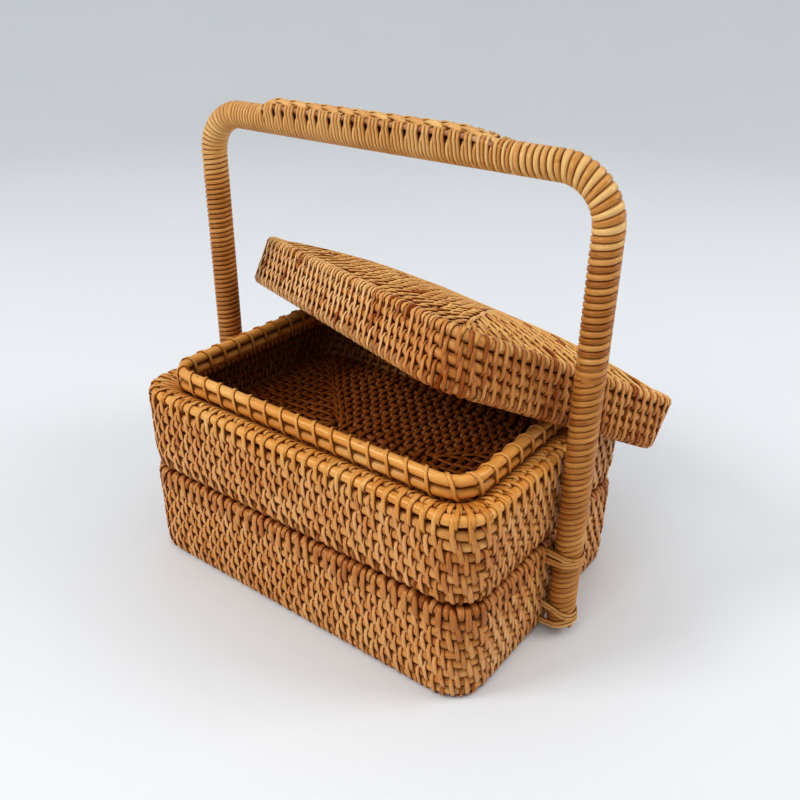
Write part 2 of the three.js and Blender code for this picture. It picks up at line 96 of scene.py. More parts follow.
def cane_finish(name, deep, middle, pale, roughness, fibre_depth, varnish=0.1, shine=0.35):
    """Peeled cane: fibres along the strip, a shade of its own for each strip, dark specks and a varnish.

    It is painted darker as painted shade where its points' lit share is low, in the valleys between canes
    and inside, and its coat and specular fade there too.
    """
    finish = bpy.data.materials.new(name)
    finish.use_nodes = True
    nodes = finish.node_tree.nodes
    links = finish.node_tree.links
    shader = nodes["Principled BSDF"]
    shader.inputs["Coat Roughness"].default_value = 0.2
    shader.inputs["Specular Tint"].default_value = (1.0, 0.76, 0.46, 1)

    def layer(label):
        """One of the values that the cane's points carry."""
        node = nodes.new("ShaderNodeAttribute")
        node.attribute_name = label
        return node

    def reckon(operation, value, factor, added=None):
        """A value times a factor or less it, with another value added where there is one."""
        node = nodes.new("ShaderNodeMath")
        node.operation = operation
        node.inputs[1].default_value = factor
        links.new(value, node.inputs[0])
        if added is not None:
            links.new(added, node.inputs[2])
        return node.outputs[0]

    def noise_along(scale, detail):
        """Noise drawn out along the cane, in a pattern of its own for each strip."""
        stretch = nodes.new("ShaderNodeMapping")
        stretch.inputs["Scale"].default_value = scale
        links.new(layer("grain").outputs["Vector"], stretch.inputs["Vector"])
        pattern = nodes.new("ShaderNodeTexNoise")
        pattern.noise_dimensions = "4D"
        pattern.inputs["Scale"].default_value = 1
        pattern.inputs["Detail"].default_value = detail
        links.new(stretch.outputs["Vector"], pattern.inputs["Vector"])
        links.new(reckon("MULTIPLY", tone, 60), pattern.inputs["W"])
        return pattern.outputs["Fac"]

    tone = layer("tone").outputs["Fac"]
    lit_share = layer("lit_share").outputs["Fac"]
    fibres = noise_along((2200, 2200, 70), 3)
    specks = noise_along((500, 500, 160), 2)
    place = nodes.new("ShaderNodeTexCoord")
    patches = nodes.new("ShaderNodeTexNoise")
    patches.inputs["Scale"].default_value = 24
    patches.inputs["Detail"].default_value = 2
    links.new(place.outputs["Object"], patches.inputs["Vector"])
    shade = reckon("MULTIPLY_ADD", fibres, FIBRE_SHARE, tone)
    shade = reckon("MULTIPLY_ADD", patches.outputs["Fac"], PATCH_SHARE, shade)
    shade = reckon("SUBTRACT", shade, (FIBRE_SHARE + PATCH_SHARE) / 2)
    colours = nodes.new("ShaderNodeValToRGB")
    colours.color_ramp.elements[0].position = 0.08
    colours.color_ramp.elements[0].color = (*deep, 1)
    colours.color_ramp.elements[1].position = 0.92
    colours.color_ramp.elements[1].color = (*pale, 1)
    colours.color_ramp.elements.new(0.5).color = (*middle, 1)
    links.new(shade, colours.inputs["Fac"])

    speck_edge = nodes.new("ShaderNodeMapRange")
    speck_edge.inputs["From Min"].default_value = 0.64
    speck_edge.inputs["From Max"].default_value = 0.74
    speck_edge.inputs["To Max"].default_value = 0.55
    links.new(specks, speck_edge.inputs["Value"])
    speckled = nodes.new("ShaderNodeMix")
    speckled.data_type = "RGBA"
    speckled.inputs["B"].default_value = (*[channel * SPECK_SHADE for channel in deep], 1)
    links.new(speck_edge.outputs["Result"], speckled.inputs["Factor"])
    links.new(colours.outputs["Color"], speckled.inputs["A"])
    # Painted shade: the colour darkens towards a share of the deep shade where the lit share is low.
    painted_shade = nodes.new("ShaderNodeMix")
    painted_shade.data_type = "RGBA"
    painted_shade.inputs["A"].default_value = (*[channel * PAINTED_SHADE_SHARE for channel in deep], 1)
    links.new(lit_share, painted_shade.inputs["Factor"])
    links.new(speckled.outputs["Result"], painted_shade.inputs["B"])
    links.new(painted_shade.outputs["Result"], shader.inputs["Base Color"])
    # Painted shade: the coat and the specular fade with the lit share, so shaded places show no
    # reflection.
    for socket, most in (("Coat Weight", varnish), ("Specular IOR Level", shine)):
        links.new(reckon("MULTIPLY", lit_share, most), shader.inputs[socket])

    polish = nodes.new("ShaderNodeMapRange")
    polish.inputs["To Min"].default_value = roughness - 0.1
    polish.inputs["To Max"].default_value = roughness + 0.14
    links.new(fibres, polish.inputs["Value"])
    links.new(polish.outputs["Result"], shader.inputs["Roughness"])
    ridges = nodes.new("ShaderNodeBump")
    ridges.inputs["Strength"].default_value = fibre_depth
    ridges.inputs["Distance"].default_value = FIBRE_HEIGHT
    links.new(fibres, ridges.inputs["Height"])
    links.new(ridges.outputs["Normal"], shader.inputs["Normal"])
    return finish


# The floor's finish: a darker cane colour and painted shade in one.
floor_finish = cane_finish(
    "dark_floor_cane_and_painted_shade", deep=(0.11, 0.018, 0.001), middle=(0.28, 0.072, 0.009), pale=(0.44, 0.155, 0.03),
    roughness=0.42, fibre_depth=0.3,
)


def loop_length(course):
    """Distance once round a course's centre line."""
    return 2 * (course.length + course.width) - (8 - 2 * math.pi) * course.corner


def loop_place(course, run):
    """Point and outward direction at a distance round a course, from the front left, anticlockwise."""
    run %= loop_length(course)
    bend = course.corner * math.pi / 2
    for quarter in range(4):
        side, depth = course.length, course.width
        if quarter % 2:
            side, depth = depth, side
        straight = side - 2 * course.corner
        turned = Matrix.Rotation(quarter * math.pi / 2, 3, "Z")
        lift = UP * course.height
        if run <= straight:
            spot = Vector((run - straight / 2, -depth / 2, 0))
            return turned @ spot + lift, turned @ Vector((0, -1, 0))
        run -= straight
        if run <= bend or quarter == 3:
            angle = run / course.corner
            outward = Vector((math.sin(angle), -math.cos(angle), 0))
            middle = Vector((straight / 2, course.corner - depth / 2, 0))
            return turned @ (middle + outward * course.corner) + lift, turned @ outward
        run -= bend


def nearest_on(course, spot):
    """The point of a course's centre line that lies nearest to a spot beside it."""
    reach_x = course.length / 2 - course.corner
    reach_y = course.width / 2 - course.corner
    core = Vector((max(-reach_x, min(reach_x, spot.x)), max(-reach_y, min(reach_y, spot.y)), 0))
    away = Vector((spot.x, spot.y, 0)) - core
    return core + away.normalized() * course.corner + UP * course.height


def round_section(radius, lighting=lambda up, out: 1, sides=ROD_SIDES):
    """A rod's section: up, out, and the rod's lit share there, for painted shade."""
    corners = []
    for step in range(sides):
        up = math.cos(step * 2 * math.pi / sides)
        out = math.sin(step * 2 * math.pi / sides)
        corners.append((radius * up, radius * out, lighting(up, out)))
    return corners


def panel_rod(up, out):
    """Painted shade on a rod in a flat panel: darker towards the rods beside it."""
    return 1 - 0.9 * abs(out) ** 5


def strip_section(width, thickness, edge=0.0, flat=0.34):
    """A split cane's section: flat below and above, with edges that stand at a share of its thickness.

    Each point carries a lit share for painted shade: lowest underneath, and low along one edge as a
    painted shadow.
    """
    return [
        (-0.5 * width, -0.5 * thickness, 0.1),
        (0.5 * width, -0.5 * thickness, 0),
        (0.5 * width, edge * thickness, 0.1),
        (flat * width, 0.5 * thickness, 0.85),
        (-flat * width, 0.5 * thickness, 1),
        (-0.5 * width, edge * thickness, 0.65),
    ]


def draw_cane(places, section, tone, closed=False):
    """A cane whose section is pushed through a row of places, each with Z along the cane."""
    cane = bmesh.new()
    grain = cane.verts.layers.float_vector.new("grain")
    tones = cane.verts.layers.float.new("tone")
    lit_share = cane.verts.layers.float.new("lit_share")
    run = chance.uniform(0, 3)
    ring = [cane.verts.new((x, y, 0)) for x, y, lighting in section]
    edges = [cane.edges.new(pair) for pair in zip(ring, ring[1:] + ring[:1])]
    # Each section point carries its lit share, for painted shade.
    for corner, (x, y, lighting) in zip(ring, section):
        corner[grain] = (x, y, run)
        corner[tones] = tone(0)
        corner[lit_share] = lighting
    bmesh.ops.transform(cane, matrix=places[0], verts=ring)
    first = edges
    start = run
    for here, there in zip(places, places[1:]):
        run += (there.translation - here.translation).length
        pushed = bmesh.ops.extrude_edge_only(cane, edges=edges)["geom"]
        ring = [item for item in pushed if isinstance(item, bmesh.types.BMVert)]
        edges = [item for item in pushed if isinstance(item, bmesh.types.BMEdge)]
        bmesh.ops.transform(cane, matrix=there @ here.inverted(), verts=ring)
        for corner in ring:
            corner[grain].z = run
            corner[tones] = tone(run - start)
    if closed:
        bmesh.ops.bridge_loops(cane, edges=first + edges)
    else:
        bmesh.ops.edgeloop_fill(cane, edges=first)
        bmesh.ops.edgeloop_fill(cane, edges=edges)
    bmesh.ops.recalc_face_normals(cane, faces=cane.faces)
    return cane


def cane_mesh(name, cane):
    """A drawn cane as a mesh."""
    mesh = bpy.data.meshes.new(name)
    cane.to_mesh(mesh)
    cane.free()
    return mesh


def lay(piece, cane):
    """Lays a drawn cane into a piece."""
    mesh = cane_mesh("cane", cane)
    piece.from_mesh(mesh)
    bpy.data.meshes.remove(mesh)


def lay_hoop(piece, course, tone=None, lighting=lambda up, out: 1):
    """Lays a rod round a course."""
    around = loop_length(course)
    steps = round(around / ROD_STEP)
    places = []
    for step in range(steps):
        spot, outward = loop_place(course, step * around / steps)
        place = Matrix((UP, outward, UP.cross(outward))).transposed().to_4x4()
        place.translation = spot
        places.append(place)
    shade = chance.uniform(*ROD_TONES) if tone is None else tone
    wander = chance.uniform(0, 50)
    lay(piece, draw_cane(
        places, round_section(course.radius, lighting),
        lambda run: shade + 0.25 * noise.noise((run * 16, wander, 0)), closed=True,
    ))


def strip_places(points, faces):
    """Places along a row of points for a strip whose crowned face looks along the given directions."""
    places = []
    for number, (point, face) in enumerate(zip(points, faces)):
        ahead = points[min(number + 1, len(points) - 1)] - points[max(number - 1, 0)]
        along = ahead.normalized()
        side = face.cross(along).normalized()
        place = Matrix((side, along.cross(side), along)).transposed().to_4x4()
        place.translation = point
        places.append(place)
    return places


def loop_round_pair(near_radius, far_radius, pitch, lean, thickness):
    """Points and outward faces of a loop round two rods, one at the origin and one at Y = pitch."""
    points, faces = [], []
    for middle, radius, start, tip in ((pitch, far_radius, -90, lean), (0, near_radius, 90, -lean)):
        for step in range(5):
            angle = math.radians(start + 45 * step)
            face = Vector((0, math.cos(angle), math.sin(angle)))
            slant = Vector((tip * (1 - abs(step - 2) / 4), middle, 0))
            points.append(slant + face * (radius + thickness / 2))
            faces.append(face)
    return points, faces


def stitch_shapes(near_radius, far_radius, pitch, lean, width, thickness, lighting):
    """A few stitches round the same two rods, each cut and pulled a little differently."""
    shapes = []
    for pull, cut in STITCH_CUTS:
        points, faces = loop_round_pair(near_radius, far_radius, pitch, lean + pull, thickness)
        section = strip_section(width * cut, thickness)
        places = strip_places([points[-1], *points, points[0]], [faces[-1], *faces, faces[0]])[1:-1]
        pinches = [*STITCH_PINCH, *reversed(STITCH_PINCH)]
        places = [place @ Matrix.Diagonal((pinch, 1, 1, 1)) for place, pinch in zip(places, pinches)]
        stitch = draw_cane(places, section, lambda run: 0.5, closed=True)
        lit_share = stitch.verts.layers.float["lit_share"]
        # Painted shade: the lit share falls as the given function says along the stitch, and on its half
        # that lies behind the rods.
        for corner in stitch.verts:
            corner[lit_share] *= lighting(corner.co.y / pitch)
            if corner.co.z < 0:
                corner[lit_share] *= INSIDE_LIT_SHARE
        shapes.append(cane_mesh("stitch", stitch))
    return shapes


def plain_tone(spot):
    """Shade of one stitch: mostly honey, a few reddish, and darker at the front right corner as painted
    shade.
    """
    if chance.random() < REDDISH_SHARE:
        return chance.uniform(*REDDISH_TONES)
    # Painted shade at the front right corner.
    corner_shade = CORNER_PAINTED_SHADE if spot.x > SHADED_CORNER.x and spot.y < SHADED_CORNER.y else 0
    honey = chance.gauss(HONEY_TONE, HONEY_SPREAD)
    return min(HONEY_PALEST, max(HONEY_DARKEST, honey)) - corner_shade


def sew(
    piece, near, far, phase, facing=None, spacing=STITCH_SPACING, lean=0, width=STITCH_WIDTH,
    thickness=STITCH_THICKNESS, tone_of=plain_tone, lighting=lambda share: 1,
):
    """Sews two neighbouring courses together all the way round, with the stitches' faces looking out.

    The stitches' lit share, for painted shade, depends on their share of the way from the near course to
    the far one.
    """
    around = loop_length(near)
    count = round(around / spacing)
    first = loop_place(near, 0)[0]
    pitch = (nearest_on(far, first) - first).length
    shapes = stitch_shapes(near.radius, far.radius, pitch, lean, width, thickness, lighting)
    last = None
    for number in range(count):
        shape = chance.choice(shapes)
        run = (number + phase + chance.uniform(-STITCH_JITTER, STITCH_JITTER)) * around / count
        spot, outward = loop_place(near, run)
        target = nearest_on(far, spot)
        if last and (target - last).length < STITCH_WIDTH * CROWDED_STITCHES:
            continue
        last = target
        across = target - spot
        lengthways = across.cross(facing or outward).normalized()
        face = lengthways.cross(across).normalized()
        place = Matrix((lengthways, across / pitch, face)).transposed().to_4x4()
        place.translation = spot
        shape.transform(place)
        shape.attributes["tone"].data.foreach_set("value", [tone_of(spot)] * len(shape.vertices))
        piece.from_mesh(shape)
        shape.transform(place.inverted())
    for shape in shapes:
        bpy.data.meshes.remove(shape)


def panel_courses(length, width, corner, height, radius, pitch, rise=0, dome_rods=1):
    """The nested courses of a panel, from its outer rod to its middle, and the straight rod there.

    A domed panel climbs over its outer rods.
    """
    count = round(width / (2 * pitch))
    pitch = width / (2 * count)
    courses = []
    for number in range(count):
        inset = number * pitch
        narrow = width - 2 * inset
        bend = min(max(corner - inset, TIGHTEST_BEND), narrow * WIDEST_BEND)
        climb = rise * math.sin(math.pi / 2 * min(1, number / dome_rods))
        courses.append(Course(length - 2 * inset, narrow, bend, height + climb, radius))
    spine = Course(length - width, SPINE_WIDTH, SPINE_WIDTH / 2, height + rise, radius)
    return courses, spine


def lay_panel(rods, stitches, courses, spine, tone_of, thickness=STITCH_THICKNESS):
    """Lays a panel's courses and the straight rod in its middle, and sews each to the next."""
    for course in courses:
        lay_hoop(rods, course, lighting=panel_rod)
    places = []
    for end in (-1, -0.3, 0.3, 1):
        place = Matrix.Translation((end * spine.length / 2, 0, spine.height))
        places.append(place @ Matrix.Rotation(math.pi / 2, 4, "Y"))
    lay(rods, draw_cane(places, round_section(spine.radius), lambda run: SPINE_TONE))
    for number, (outer, inner) in enumerate(zip(courses, [*courses[1:], spine])):
        sew(stitches, outer, inner, ROW_SHIFT * number, facing=UP, thickness=thickness, tone_of=tone_of)


def new_piece():
    """An empty piece whose points carry the cane's grain, tone and lit share for painted shade."""
    piece = bmesh.new()
    piece.verts.layers.float_vector.new("grain")
    piece.verts.layers.float.new("tone")
    piece.verts.layers.float.new("lit_share")
    return piece


def finish_piece(name, piece, finish, body, slot, *nodes, place=None):
    """Turns a laid piece into an object that rides on a body and stands for its solids."""
    mesh = cane_mesh(name, piece)
    if place:
        mesh.transform(place)
    mesh.polygons.foreach_set("use_smooth", [True] * len(mesh.polygons))
    mesh.materials.append(finish)
    thing = bpy.data.objects.new(name, mesh)
    bpy.context.scene.collection.objects.link(thing)
    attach(thing, body)
    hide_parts(*nodes)


def weave_floor(name, body, node):
    """A tray's floor, in the space that its solid holds."""
    low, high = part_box(node)
    inset = FLOOR_ROD_RADIUS + STITCH_THICKNESS
    courses, spine = panel_courses(
        high.x - low.x - 2 * inset, high.y - low.y - 2 * inset, FLOOR_CORNER,
        low.z + inset + SOLID_MARGIN, FLOOR_ROD_RADIUS, FLOOR_PITCH,
    )
    rods, stitches = new_piece(), new_piece()
    lay_panel(rods, stitches, courses, spine, plain_tone)
    finish_piece(f"{name}_rods", rods, floor_finish, body, "woven_floor", node)
    finish_piece(f"{name}_stitches", stitches, floor_finish, body, "woven_floor", node)
    return courses[0]


lower_floor_edge = weave_floor("lower_floor", "lower_tray", "lower_tray_floor")


# Lower tray wall: thicker rattan rods stacked in level rows and sewn with the same flat cane, every
# stitch taking in two rods and leaning a little. The foot is tucked in. The top turns in over a border
# rod and two thinner ones as a ledge, and the cane that covers the border lies close on this tray.
ROD_RADIUS = 0.0031
CORNER_RADIUS = 0.022
BORDER_RADIUS = 0.0041
LEDGE_ROD_RADIUS = 0.0018
LEDGE_RODS = ((0.0088, 0.0030, 0.0150), (0.0142, 0.0057, 0.0165))
LEDGE_LEAN = 0.0008
WALL_LEAN = -0.0012
LOWER_ROWS = 8
LOWER_FOOT_TUCK = 0.0008
TUCK_SHARES = (1, 0.35)
BORDER_MARGIN = 0.0003
BORDER_TONE = 0.5
BORDER_STITCH_THICKNESS = 0.0011
LOWER_BORDER_WIDTH = 0.0036
LOWER_BORDER_SPACING = 0.0068
# Painted shade in the seam under the next tray: the lit share there, and from which share of a stitch's
# way it starts on the foot row, the border's crest and its inside.
SEAM_LIT_SHARE = 0.02
FOOT_UNDERSIDE = -0.4
BORDER_CREST = 1.4
BORDER_INSIDE = 0.1
rod_finish = cane_finish(
    "rattan_rod", deep=(0.26, 0.046, 0.002), middle=(0.60, 0.245, 0.060), pale=(0.85, 0.49, 0.19),
    roughness=0.36, fibre_depth=0.3, varnish=0.08, shine=0.4,
)
stitch_finish = cane_finish(
    "cane_stitch", deep=(0.29, 0.052, 0.002), middle=(0.68, 0.300, 0.090), pale=(0.92, 0.59, 0.28),
    roughness=0.32, fibre_depth=0.3, varnish=0.1, shine=0.5,
)
border_finish = cane_finish(
    "reddish_cane", deep=(0.22, 0.038, 0.002), middle=(0.51, 0.185, 0.045), pale=(0.77, 0.40, 0.14),
    roughness=0.32, fibre_depth=0.3, varnish=0.1, shine=0.5,
)


def wall_rod(up, out):
    """Painted shade on a rod in a wall: darker towards the rods above and below it, more broadly below as
    if lit from above, and inside the tray.
    """
    valley = up ** 6 if up > 0 else abs(up) ** 2.5
    return max(0, 1 - 0.95 * valley - 0.6 * max(0, -out))


def weave_wall(
    name, body, rows, foot_lift, foot_tuck, edge_finish, edge_width, edge_spacing, inner_shift, seam
):
    """A tray's wall, border and ledge, in the space that their solids hold.

    The border's inner stitches stand a share of a step from the outer ones. The seam's value is the lit
    share of the canes that lie under the next tray, painted shade where it is low.
    """
    wall = f"{body}_wall"
    low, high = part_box(wall)
    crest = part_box(f"{name}_border_hoop")[1].z + BORDER_MARGIN

    def course_at(inset, height, radius, corner=None):
        corner = corner or CORNER_RADIUS - inset
        return Course(high.x - low.x - 2 * inset, high.y - low.y - 2 * inset, corner, height, radius)

    inset = ROD_RADIUS + STITCH_THICKNESS
    border = course_at(
        BORDER_RADIUS + BORDER_MARGIN, crest - BORDER_RADIUS, BORDER_RADIUS - BORDER_STITCH_THICKNESS
    )
    lowest = low.z + inset + SOLID_MARGIN + foot_lift
    highest = border.height - BORDER_RADIUS - ROD_RADIUS - SOLID_MARGIN
    courses = []
    for row in range(rows):
        tuck = foot_tuck * TUCK_SHARES[row] if row < len(TUCK_SHARES) else 0
        height = lowest + (highest - lowest) * row / (rows - 1)
        courses.append(course_at(inset + tuck, height, ROD_RADIUS))
    ledge = []
    for depth, drop, corner in LEDGE_RODS:
        ledge.append(course_at(depth, crest - drop, LEDGE_ROD_RADIUS, corner))
    rods, stitches = new_piece(), new_piece()
    for course in courses:
        lay_hoop(rods, course, lighting=wall_rod)
    for course in ledge:
        lay_hoop(rods, course, lighting=panel_rod)
    for row, (below, above) in enumerate(zip(courses, courses[1:])):
        # Painted shade: the lowest row's stitches are dark where they curl under the wall.
        foot = 1 if row else SEAM_LIT_SHARE
        sew(
            stitches, below, above, ROW_SHIFT * row, lean=WALL_LEAN,
            lighting=lambda share: foot if share < FOOT_UNDERSIDE else 1,
        )
    border_rod, border_stitches = new_piece(), new_piece()
    lay_hoop(border_rod, border, BORDER_TONE)
    top_shift = ROW_SHIFT * (rows - 1)
    # Painted shade: the border's stitches on the crest and inside, and the ledge's stitches all over, are
    # as dark as the seam's value says.
    sew(
        border_stitches, courses[-1], border, top_shift, spacing=edge_spacing, lean=WALL_LEAN / 2,
        width=edge_width, thickness=BORDER_STITCH_THICKNESS,
        lighting=lambda share: seam if share > BORDER_CREST else 1,
    )
    sew(
        border_stitches, border, ledge[0], top_shift + inner_shift, facing=UP, spacing=edge_spacing,
        width=edge_width, thickness=BORDER_STITCH_THICKNESS,
        lighting=lambda share: seam if share > BORDER_INSIDE else 1,
    )
    sew(
        border_stitches, *ledge, phase=0.25, facing=UP, spacing=STITCH_SPACING / 2, lean=LEDGE_LEAN,
        lighting=lambda share: seam,
    )
    finish_piece(f"{name}_wall_rods", rods, rod_finish, body, "woven_wall", wall)
    finish_piece(f"{name}_wall_stitches", stitches, stitch_finish, body, "woven_wall", wall)
    hoop = f"{name}_border_hoop"
    finish_piece(f"{name}_border_rod", border_rod, edge_finish, body, "border_rod", hoop)
    finish_piece(f"{name}_border_stitches", border_stitches, edge_finish, body, "cane_binding", hoop)
    return courses


lower_courses = weave_wall(
    "lower", "lower_tray", rows=LOWER_ROWS, foot_lift=0, foot_tuck=LOWER_FOOT_TUCK,
    edge_finish=border_finish, edge_width=LOWER_BORDER_WIDTH, edge_spacing=LOWER_BORDER_SPACING,
    inner_shift=0.5, seam=SEAM_LIT_SHARE,
)
foot_stitches = new_piece()
sew(foot_stitches, lower_courses[0], lower_floor_edge, phase=0.5, facing=-UP)
finish_piece(
    "lower_foot_stitches", foot_stitches, stitch_finish, "lower_tray", "woven_wall", "lower_tray_wall"
)


# Lower tray collar: two smooth rods one above the other, standing on the ledge, which locate the
# tray or lid above. One flat cane spirals round both of them and ties them to the ledge.
COLLAR_CORNER = 0.016
COLLAR_TONE = 0.55
BINDING_LOOPS = 56
BINDING_WIDTH = 0.0023
BINDING_THICKNESS = 0.0010
collar_finish = cane_finish(
    "varnished_cane", deep=(0.30, 0.070, 0.005), middle=(0.72, 0.31, 0.062), pale=(0.92, 0.60, 0.23),
    roughness=0.30, fibre_depth=0.2, varnish=0.2, shine=0.5,
)


def weave_collar(name, body):
    """A tray's collar, in the space that its solids hold."""
    courses = []
    for node, groove in ((f"{name}_collar_bottom_hoop", 1), (f"{name}_collar_top_hoop", -1)):
        low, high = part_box(node)
        diameter = high.z - low.z
        courses.append(Course(
            high.x - low.x - diameter, high.y - low.y - diameter, COLLAR_CORNER,
            (low.z + high.z) / 2, diameter / 2 + SOLID_MARGIN,
        ))
        rod = new_piece()
        # Painted shade in the groove between the two collar rods.
        lay_hoop(rod, courses[-1], COLLAR_TONE, lighting=lambda up, out: 1 - 0.9 * max(0, up * groove) ** 3)
        finish_piece(node.replace("hoop", "rod"), rod, collar_finish, body, "collar_rod", node)
    bottom, top = courses
    ring_points, ring_faces = loop_round_pair(
        bottom.radius, top.radius, top.height - bottom.height, 0, BINDING_THICKNESS
    )
    around = loop_length(bottom)
    points, faces = [], []
    for loop in range(BINDING_LOOPS):
        for number, (point, face) in enumerate(zip(ring_points, ring_faces)):
            run = (loop + number / len(ring_points)) * around / BINDING_LOOPS
            spot, outward = loop_place(bottom, run)
            points.append(spot + UP * point.y + outward * point.z)
            faces.append(UP * face.y + outward * face.z)
    places = strip_places([points[-1], *points, points[0]], [faces[-1], *faces, faces[0]])[1:-1]
    binding = new_piece()
    section = strip_section(BINDING_WIDTH, BINDING_THICKNESS)
    lay(binding, draw_cane(
        places, section, lambda run: COLLAR_TONE + 0.3 * noise.noise((run * 30, 3, 0)), closed=True
    ))
    finish_piece(
        f"{name}_collar_winding", binding, collar_finish, body, "cane_binding", f"{name}_collar_binding"
    )


weave_collar("lower", "lower_tray")


# Handle pole: one thick rattan pole, steamed and bent at two corners, whose feet stand beside the
# middle of each short end. It is hidden by the winding, apart from its rounded feet.
BEND_RADIUS = 0.026
POLE_STEP = 0.005
POLE_SIDES = 14
POLE_TONE = 0.4
FOOT_DEPTH = 0.6
FOOT_TIP = 0.05
FOOT_ANGLES = (0.05, 0.4, 0.8, 1.2, 1.57)
pole_low, pole_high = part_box("handle_pole")
bar_low, bar_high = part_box("bar_wrapping")
pole_radius = (pole_high.y - pole_low.y) / 2
post_x = pole_high.x - pole_radius
bar_height = (bar_low.z + bar_high.z) / 2
post_run = bar_height - BEND_RADIUS - pole_low.z
bend_run = BEND_RADIUS * math.pi / 2
bar_run = 2 * (post_x - BEND_RADIUS)
handle_run = 2 * (post_run + bend_run) + bar_run


def handle_place(run):
    """Place at a distance along the pole from the left foot: X away from the arch and Y to the front."""
    mirrored = run > handle_run / 2
    climb = handle_run - run if mirrored else run
    angle = max(0, min(climb - post_run, bend_run)) / BEND_RADIUS
    spot = Vector((-post_x, 0, pole_low.z + min(climb, post_run)))
    spot += BEND_RADIUS * Vector((1 - math.cos(angle), 0, math.sin(angle)))
    spot.x += max(0, climb - post_run - bend_run)
    along = Vector((math.sin(angle), 0, math.cos(angle)))
    away = Vector((-math.cos(angle), 0, math.sin(angle)))
    if mirrored:
        spot.x *= -1
        along.z *= -1
        away.x *= -1
    place = Matrix((away, along.cross(away), along)).transposed().to_4x4()
    place.translation = spot
    return place


def foot_place(angle, mirrored):
    """Place on one of the pole's rounded feet, scaled to the foot's width there."""
    depth = pole_radius * (1 - math.cos(angle)) * FOOT_DEPTH
    place = handle_place(handle_run - depth if mirrored else depth)
    return place @ Matrix.Scale(max(FOOT_TIP, math.sin(angle)), 4)


pole_steps = round(handle_run / POLE_STEP)
pole_places = [foot_place(angle, False) for angle in FOOT_ANGLES]
pole_places += [handle_place(handle_run * step / pole_steps) for step in range(1, pole_steps)]
pole_places += [foot_place(angle, True) for angle in reversed(FOOT_ANGLES)]
pole = new_piece()
lay(pole, draw_cane(pole_places, round_section(pole_radius, sides=POLE_SIDES), lambda run: POLE_TONE))
finish_piece("handle_core", pole, rod_finish, "lower_tray", "handle_core", "handle_pole")


# Handle winding: flat canes wound side by side, close together, up the left post, along the bar and
# down the right post. At the grip they are narrower, and most turns pass over two rods, a few under.
WINDING_THICKNESS = 0.0015
LEFT_CANES = 2
LEFT_TURN = 0.0031
RIGHT_CANES = 2
RIGHT_TURN = 0.0036
STEEP_CANES = 4
STEEP_START = 0.075
GRIP_CANES = 2
GRIP_TURN = 0.00228
GRIP_UNDER = (0, 4, 7)
GRIP_REPEAT = 11
GRIP_SWELL = 0.0012
TURN_STEPS = 22
TURN_COVER = 0.97
BEND_SPREAD = 0.3
BARE_FOOT = 0.0028
SPLICE_SINK = 0.0005
SPLICE_OVERLAP = 0.002
STEEP_UNDERLAP = 0.008
GRIP_UNDERLAP = 0.006
POST_TONE = 0.38
BAR_PALER = 0.28
BAR_PALING_RUN = 0.03
BROWN_REACH = 0.13
GRIP_LEFT = -0.087
GRIP_RIGHT = 0.080
GRIP_TAPERS = (0.012, 0.034)
UNDERLAY_ANGLE = math.radians(35)
UNDERLAY_SPREAD = 0.4
underlay_low, underlay_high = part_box("grip_front_underlay")
underlay_radius = (underlay_high.z - underlay_low.z) / 2
winding_radius = bar_high.z - bar_height
winding_middle = winding_radius - WINDING_THICKNESS / 2
underlay_reach = math.hypot(
    (underlay_low.y + underlay_high.y) / 2, (underlay_low.z + underlay_high.z) / 2 - bar_height
)


def grip_rise(x):
    """Share of the grip's full height at a point of the bar: it sinks into the winding at both ends."""
    share = min((x - GRIP_LEFT) / GRIP_TAPERS[0], (GRIP_RIGHT - x) / GRIP_TAPERS[1], 1)
    return math.sin(math.pi / 2 * max(0, share))


def grip_lift(run, angle):
    """How far a cane stands off the pole: in the grip most go over the two rods and a few go under."""
    x = run - handle_run / 2
    lean = (angle + math.pi) % (2 * math.pi) - math.pi
    number = round((run - lean / (2 * math.pi) * GRIP_CANES * GRIP_TURN - post_end) / GRIP_TURN)
    if number % GRIP_REPEAT in GRIP_UNDER:
        return 0
    crossing = underlay_reach + underlay_radius - winding_middle + WINDING_THICKNESS / 2
    over = math.exp(-((abs(lean) - UNDERLAY_ANGLE) / UNDERLAY_SPREAD) ** 2)
    return grip_rise(x) * max(over * crossing, GRIP_SWELL if abs(lean) < UNDERLAY_ANGLE else 0)


def splice_lift(run, angle):
    """How far a cane's end stands off the pole, where the next cane is laid over it."""
    return -SPLICE_SINK


def winding_tone(cane, run):
    """Every second cane is browner, most of all near the right bend, and the posts more than the bar."""
    nearness = max(0, 1 - abs(run - (handle_run - post_run)) / BROWN_REACH)
    wander = 0.22 * noise.noise((run * 45, cane * 9.0, 2.0))
    climb = min(run, handle_run - run)
    raised = min(1, max(0, (climb - post_run + BAR_PALING_RUN) / BAR_PALING_RUN))
    own = -0.04 - 0.13 * nearness if cane % 2 else 0.04 + 0.1 * nearness
    return POST_TONE + BAR_PALER * raised + wander + own


